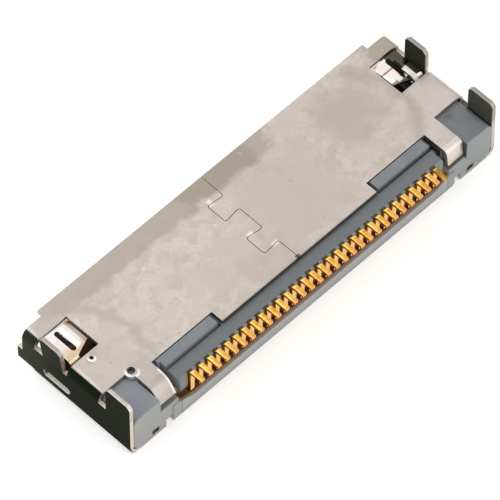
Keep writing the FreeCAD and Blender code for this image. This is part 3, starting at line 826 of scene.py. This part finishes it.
def makeRowTree():
    tree = bpy.data.node_groups.new("contactRow", "GeometryNodeTree")
    sockets = [("First X", "NodeSocketFloat"), ("Count", "NodeSocketInt"), ("Pitch", "NodeSocketFloat"),
               ("Front Y", "NodeSocketFloat"), ("Riser Y", "NodeSocketFloat"), ("Tip Y", "NodeSocketFloat"),
               ("Tongue Z", "NodeSocketFloat"), ("Foot Z", "NodeSocketFloat"),
               ("Width", "NodeSocketFloat"), ("Thickness", "NodeSocketFloat"),
               ("Bend Radius", "NodeSocketFloat"), ("Bend Steps", "NodeSocketInt"),
               ("Corner Radius", "NodeSocketFloat"), ("Corner Steps", "NodeSocketInt"),
               ("Material", "NodeSocketMaterial")]
    for socketName, kind in sockets:
        tree.interface.new_socket(name=socketName, in_out="INPUT", socket_type=kind)
    tree.interface.new_socket(name="Geometry", in_out="OUTPUT", socket_type="NodeSocketGeometry")
    given = tree.nodes.new("NodeGroupInput").outputs
    out = tree.nodes.new("NodeGroupOutput")

    # path: along the tongue, up the riser and out along the foot
    corners = [("Front Y", "Tongue Z"), ("Riser Y", "Tongue Z"), ("Riser Y", "Foot Z"), ("Tip Y", "Foot Z")]
    chain = addNode(tree, "GeometryNodeMeshLine")
    chain.inputs["Count"].default_value = len(corners)
    choice = addNode(tree, "GeometryNodeIndexSwitch", data_type="VECTOR")
    while len(choice.index_switch_items) < len(corners):
        choice.index_switch_items.new()
    link(tree, addNode(tree, "GeometryNodeInputIndex").outputs[0], choice, "Index")
    for number, (y, z) in enumerate(corners):
        place = addNode(tree, "ShaderNodeCombineXYZ")
        link(tree, given[y], place, "Y")
        link(tree, given[z], place, "Z")
        link(tree, place.outputs[0], choice, str(number))
    placed = addNode(tree, "GeometryNodeSetPosition")
    link(tree, chain.outputs[0], placed, "Geometry")
    link(tree, choice.outputs[0], placed, "Position")
    curve = addNode(tree, "GeometryNodeMeshToCurve")
    link(tree, placed.outputs[0], curve, "Mesh")
    bent = addNode(tree, "GeometryNodeFilletCurve", mode="POLY")
    link(tree, curve.outputs[0], bent, "Curve")
    link(tree, given["Bend Radius"], bent, "Radius")
    link(tree, given["Bend Steps"], bent, "Count")

    # section: a rectangle with rounded corners
    section = addNode(tree, "GeometryNodeCurvePrimitiveQuadrilateral", mode="RECTANGLE")
    link(tree, given["Width"], section, "Width")
    link(tree, given["Thickness"], section, "Height")
    rounded = addNode(tree, "GeometryNodeFilletCurve", mode="POLY")
    link(tree, section.outputs[0], rounded, "Curve")
    link(tree, given["Corner Radius"], rounded, "Radius")
    link(tree, given["Corner Steps"], rounded, "Count")
    strip = addNode(tree, "GeometryNodeCurveToMesh")
    link(tree, bent.outputs[0], strip, "Curve")
    link(tree, rounded.outputs[0], strip, "Profile Curve")
    strip.inputs["Fill Caps"].default_value = True

    # one strip at each place of the row
    first = addNode(tree, "ShaderNodeCombineXYZ")
    link(tree, given["First X"], first, "X")
    step = addNode(tree, "ShaderNodeCombineXYZ")
    link(tree, given["Pitch"], step, "X")
    places = addNode(tree, "GeometryNodeMeshLine")
    link(tree, given["Count"], places, "Count")
    link(tree, first.outputs[0], places, "Start Location")
    link(tree, step.outputs[0], places, "Offset")
    row = addNode(tree, "GeometryNodeInstanceOnPoints")
    link(tree, places.outputs[0], row, "Points")
    link(tree, strip.outputs[0], row, "Instance")
    real = addNode(tree, "GeometryNodeRealizeInstances")
    link(tree, row.outputs[0], real, "Geometry")
    painted = addNode(tree, "GeometryNodeSetMaterial")
    link(tree, real.outputs[0], painted, "Geometry")
    link(tree, given["Material"], painted, "Material")
    link(tree, painted.outputs[0], out, "Geometry")
    return tree


def makeContactRow(values):
    low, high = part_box("contact_01")
    half = values["thickness"] / 2
    tree = makeRowTree()
    inputs = {
        "First X": (low[0] + high[0]) / 2,
        "Count": values["count"],
        "Pitch": values["pitch"],
        "Front Y": high[1],
        "Riser Y": low[1] + values["tipToRiser"] + half,
        "Tip Y": low[1],
        "Tongue Z": low[2] + half,
        "Foot Z": high[2] - half,
        "Width": high[0] - low[0],
        "Thickness": values["thickness"],
        "Bend Radius": values["bendRadius"],
        "Bend Steps": values["bendSteps"],
        "Corner Radius": values["cornerRadius"],
        "Corner Steps": values["cornerSteps"],
        "Material": contactMaterial,
    }
    row = bpy.data.objects.new("goldContactRow", bpy.data.meshes.new("goldContactRow"))
    bpy.context.collection.objects.link(row)
    modifier = row.modifiers.new("contactRow", "NODES")
    modifier.node_group = tree
    for item in tree.interface.items_tree:
        if item.in_out == "INPUT":
            modifier[item.identifier] = inputs[item.name]
    plainMesh(row)
    row.data.shade_smooth()
    row.data.set_sharp_from_angle(angle=math.radians(values["sharpFrom"]))
    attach(row, "root")
    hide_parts(*["contact_%02d" % number for number in range(1, values["count"] + 1)])
    print("contact row faces:", len(row.data.polygons))


makeContactRow(rowValues)
softened("contact_30", "lastGoldContact", contactMaterial, edgeValues)
print("pieces made")


# floor, world and lamps
studioValues = {
    "worldColour": (1, 1, 1, 1),
    "worldDiffuse": 0.6,
    "lampSize": 150 * mm,
    "lamps": [  # name, watts and place
        ("keyLight", 0.055, Vector((-45, 70, 90)) * mm),
        ("fillLight", 0.045, Vector((20, -110, 50)) * mm),
    ],
    "floorHalf": 1.5,
    "floorDiffuse": (0.90, 0.89, 0.87, 1.0),
    "floorGlow": 0.46,
    "floorBounce": (0.95, 0.95, 0.94, 1.0),
}


def shownDirectly(tree):  # 1 for rays that show the background: camera, glossy and transmission
    path = addNode(tree, "ShaderNodeLightPath")
    direct = mathNode(tree, "ADD", path.outputs["Is Camera Ray"], path.outputs["Is Glossy Ray"], clamp=True)
    return mathNode(tree, "ADD", direct, path.outputs["Is Transmission Ray"], clamp=True)


def makeFloor(values):
    half = values["floorHalf"]
    mesh = bpy.data.meshes.new("studioFloor")
    corners = [(-half, -half, 0), (half, -half, 0), (half, half, 0), (-half, half, 0)]
    mesh.from_pydata(corners, [], [(0, 1, 2, 3)])
    floor = bpy.data.objects.new("studioFloor", mesh)
    bpy.context.collection.objects.link(floor)
    material = bpy.data.materials.new("paleFloor")
    material.use_nodes = True
    tree = material.node_tree
    tree.nodes.remove(tree.nodes["Principled BSDF"])
    bounce = addNode(tree, "ShaderNodeBsdfDiffuse")
    bounce.inputs["Color"].default_value = values["floorBounce"]
    shadowed = addNode(tree, "ShaderNodeBsdfDiffuse")
    shadowed.inputs["Color"].default_value = values["floorDiffuse"]
    glow = addNode(tree, "ShaderNodeEmission")
    glow.inputs["Strength"].default_value = values["floorGlow"]
    seen = addNode(tree, "ShaderNodeAddShader")
    join(tree, shadowed.outputs[0], seen.inputs[0])
    join(tree, glow.outputs[0], seen.inputs[1])
    choice = addNode(tree, "ShaderNodeMixShader")
    join(tree, shownDirectly(tree), choice.inputs[0])
    join(tree, bounce.outputs[0], choice.inputs[1])
    join(tree, seen.outputs[0], choice.inputs[2])
    join(tree, choice.outputs[0], tree.nodes["Material Output"].inputs["Surface"])
    mesh.materials.append(material)


def makeWorld(values):
    world = bpy.data.worlds.new("studioWorld")
    world.use_nodes = True
    tree = world.node_tree
    background = tree.nodes["Background"]
    background.inputs["Color"].default_value = values["worldColour"]
    strength = ramp(tree, shownDirectly(tree), 0.0, 1.0, values["worldDiffuse"], 1.0)
    join(tree, strength, background.inputs["Strength"])
    bpy.context.scene.world = world


def makeLamps(values):
    for name, power, place in values["lamps"]:
        data = bpy.data.lights.new(name, "AREA")
        data.energy = power
        data.size = values["lampSize"]
        lamp = bpy.data.objects.new(name, data)
        lamp.location = place
        lamp.rotation_mode = "QUATERNION"
        lamp.rotation_quaternion = (-place).to_track_quat("-Z", "Y")
        bpy.context.collection.objects.link(lamp)


makeFloor(studioValues)
makeWorld(studioValues)
makeLamps(studioValues)
print("studio made")
